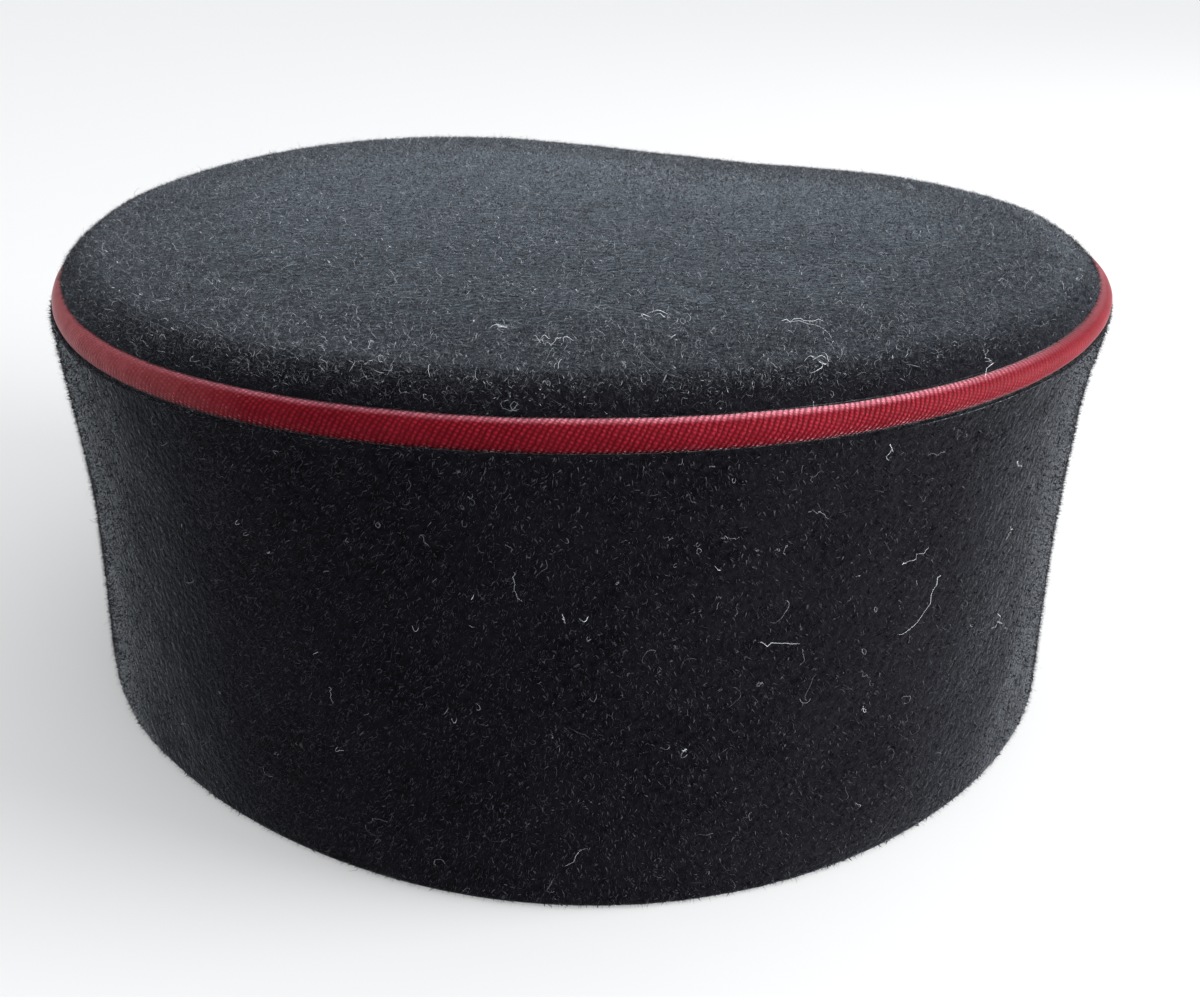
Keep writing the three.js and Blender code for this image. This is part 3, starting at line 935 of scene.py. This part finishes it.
def make_strands(name, paths, radius, shares, fibres, slot=None):
    """Returns a piece of strands that keep clear of the floor, in materials that each have a share.

    Strands of the felt itself face any way, and loose ones face away from the cap; slot only tells the two
    apart.
    """
    paths = paths[paths[:, :, 2].min(axis=1) > FIBRE_RADIUS[1]]
    radii = random.uniform(*radius, len(paths))
    tints = random.choice(len(shares), len(paths), p=list(shares.values()))
    facing = random.normal(size=(len(paths), 1, 3)) if slot else paths[:, :-1] - CAP_MIDDLE
    piece = strand_piece(name, paths, radii, facing, [fibres[colour] for colour in shares], tints)
    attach(piece, "root")
    return piece


def make_nap(wall, wall_edge, crown):
    """Returns pieces with the fibres of the felt itself, which stand out of its face."""
    fibres = {name: fibre_material("fibre_" + name, colour) for name, colour in FIBRE_COLOURS.items()}
    thin_foot = dict(bare=FOOT_WIDTH)
    rim = dict(width=RIM_WIDTH, bare=FOOT_WIDTH)
    wall_fibres = wall.nap_paths(WALL_NAP, NAP_LENGTH, WALL_LEAN)
    wall_mat = wall.nap_paths(WALL_MAT, MAT_LENGTH, MAT_LEAN)
    wall_points = wall.nap_paths(WALL_TUFTS, WALL_TUFT_LENGTH, PRESSED_LEAN)
    edge_fibres = wall_edge.nap_paths(EDGE_NAP, EDGE_LENGTH, EDGE_LEAN, sides=True)
    crown_fibres = crown.nap_paths(CROWN_NAP, NAP_LENGTH, PRESSED_LEAN, **thin_foot)
    crown_points = crown.nap_paths(CROWN_TUFTS, TUFT_LENGTH, PRESSED_LEAN, **thin_foot)
    rim_fibres = crown.nap_paths(RIM_NAP, NAP_LENGTH, PRESSED_LEAN, **rim)
    foot_fibres = crown.nap_paths(FOOT_NAP, NAP_LENGTH, PRESSED_LEAN, width=FOOT_WIDTH)
    crown_loops = crown.curl_paths(CROWN_CURLS, **thin_foot)
    wall_loops = wall.curl_paths(WALL_CURLS)
    rim_loops = crown.curl_paths(RIM_CURLS, **rim)
    coats = [
        dict(name="wall_nap", paths=wall_fibres, radius=FIBRE_RADIUS, shares=STANDING),
        dict(name="wall_mat", paths=wall_mat, radius=FIBRE_RADIUS, shares=MATTED),
        dict(name="wall_tufts", paths=wall_points, radius=TUFT_RADIUS, shares=TUFTED),
        dict(name="wall_edge_nap", paths=edge_fibres, radius=EDGE_RADIUS, shares=EDGE_PAINTED_LIGHT),
        dict(name="wall_curls", paths=wall_loops, radius=CURL_RADIUS, shares=STANDING),
        dict(name="crown_nap", paths=crown_fibres, radius=FIBRE_RADIUS, shares=RAISED_AND_TOP_LIT),
        dict(name="crown_tufts", paths=crown_points, radius=TUFT_RADIUS, shares=RAISED_AND_TOP_LIT),
        dict(name="crown_curls", paths=crown_loops, radius=CURL_RADIUS, shares=CURLY),
        dict(name="rim_nap", paths=rim_fibres, radius=FIBRE_RADIUS, shares=RAISED_AND_TOP_LIT),
        dict(name="rim_curls", paths=rim_loops, radius=CURL_RADIUS, shares=CURLY),
        dict(name="foot_nap", paths=foot_fibres, radius=FIBRE_RADIUS, shares=SHADED),
    ]
    return [make_strands(fibres=fibres, slot="felt", **coat) for coat in coats]


def make_lint(wall, crown):
    """Pale loose fibres that cling to the felt: some in their places in the photo, others anywhere."""
    fibres = {name: fibre_material("lint_" + name, colour) for name, colour in LINT_COLOURS.items()}
    faces = [
        dict(name="wall_lint", skin=wall, placed=WALL_LINT, loose=WALL_LOOSE),
        dict(name="crown_lint", skin=crown, placed=CROWN_LINT, loose=CROWN_LOOSE),
    ]
    for face in faces:
        skin, count = face["skin"], face["loose"]
        bearing, along = skin.scatter(count)
        length = LOOSE_LENGTH["least"] + random.gamma(LOOSE_LENGTH["shape"], LOOSE_LENGTH["scale"], count)
        paths = skin.wander_paths(bearing, along, length, LOOSE_CURL)
        make_strands(face["name"], paths, LINT_RADIUS, LOOSE_SHARES, fibres)
        placed = np.array([skin.placed_path(spots) for spots in face["placed"]])
        make_strands(face["name"] + "_placed", placed, LINT_RADIUS, PLACED_SHARES, fibres)
    for number, tangle in enumerate(CROWN_TANGLES, 1):
        count, spread = tangle["fibres"], tangle["spread"]
        radius = tangle["radius"] + random.normal(size=count) * spread / 2
        bearing = np.radians(tangle["bearing"]) + random.normal(size=count) * spread / tangle["radius"]
        along = np.interp(radius, crown.level[::-1], crown.way[::-1])
        length = random.uniform(*TANGLE_LENGTH, count)
        paths = crown.wander_paths(bearing, along, length, TANGLE_CURL)
        make_strands(f"lint_tangle_{number}", paths, LINT_RADIUS, PLACED_SHARES, fibres)


# Stage, light and camera


def make_floor():
    corners = np.array([(-1, -1, 0), (1, -1, 0), (1, 1, 0), (-1, 1, 0)]) * FLOOR_REACH
    floor = add_object("floor", corners, [[0, 1, 2, 3]])
    floor.data.materials.append(floor_material())


def add_softbox(name, place, target, size, power):
    light = bpy.data.lights.new(name, "AREA")
    light.shape = "DISK"
    light.size = size
    light.energy = power
    lamp = bpy.data.objects.new(name, light)
    bpy.context.scene.collection.objects.link(lamp)
    lamp.location = place
    lamp.rotation_mode = "QUATERNION"
    lamp.rotation_quaternion = (Vector(target) - Vector(place)).to_track_quat("-Z", "Y")


def make_light():
    """A pale room that is brightest overhead and to the right, with a soft lamp on that side."""
    world = bpy.data.worlds.new("studio")
    world.use_nodes = True
    tree = world.node_tree
    background = next(node for node in tree.nodes if node.type == "BACKGROUND")
    direction = add_node(tree, "ShaderNodeTexCoord").outputs["Generated"]
    toward = add_node(tree, "ShaderNodeVectorMath", {0: direction, 1: SKY_AXIS}, operation="DOT_PRODUCT")
    strength = remap(tree, toward.outputs["Value"], *SKY_FADE, SKY_DIM, SKY_BRIGHT, smooth=True)
    tree.links.new(strength, background.inputs["Strength"])
    background.inputs["Color"].default_value = SKY_COLOUR
    bpy.context.scene.world = world
    add_softbox("right_softbox", **SOFTBOX)


def make_camera():
    down, right_turn, lean = np.radians([LOOK_DOWN, LOOK_RIGHT, LEAN])
    ahead = Vector((np.sin(right_turn) * np.cos(down), np.cos(right_turn) * np.cos(down), -np.sin(down)))
    right = Vector((np.cos(right_turn), -np.sin(right_turn), 0))
    up = right.cross(ahead)
    right, up = np.cos(lean) * right + np.sin(lean) * up, np.cos(lean) * up - np.sin(lean) * right
    view = bpy.data.cameras.new("camera")
    view.sensor_fit = "HORIZONTAL"
    view.sensor_width = SENSOR_WIDTH
    view.lens = SENSOR_WIDTH * FOCAL_PIXELS / IMAGE_WIDTH
    view.clip_start = 0.01
    camera = bpy.data.objects.new("camera", view)
    bpy.context.scene.collection.objects.link(camera)
    turned = Matrix((right, up, -ahead)).transposed().to_4x4()
    camera.matrix_world = Matrix.Translation(EYE) @ turned
    bpy.context.scene.camera = camera


make_camera()
make_light()
make_floor()
pressed = felt_material("felt_pressed", **PRESSED_SHEEN)
wall_piece, (wall_skin, edge_skin) = make_wall(felt_material("felt_wall", **WALL_SHEEN), pressed)
crown_piece, crown_skin = make_crown(felt_material("felt_crown", **CROWN_SHEEN), pressed)
make_piping(twill_material())
nap = make_nap(wall_skin, edge_skin, crown_skin)
make_lint(wall_skin, crown_skin)
bpy.context.scene.view_settings.view_transform = "Standard"
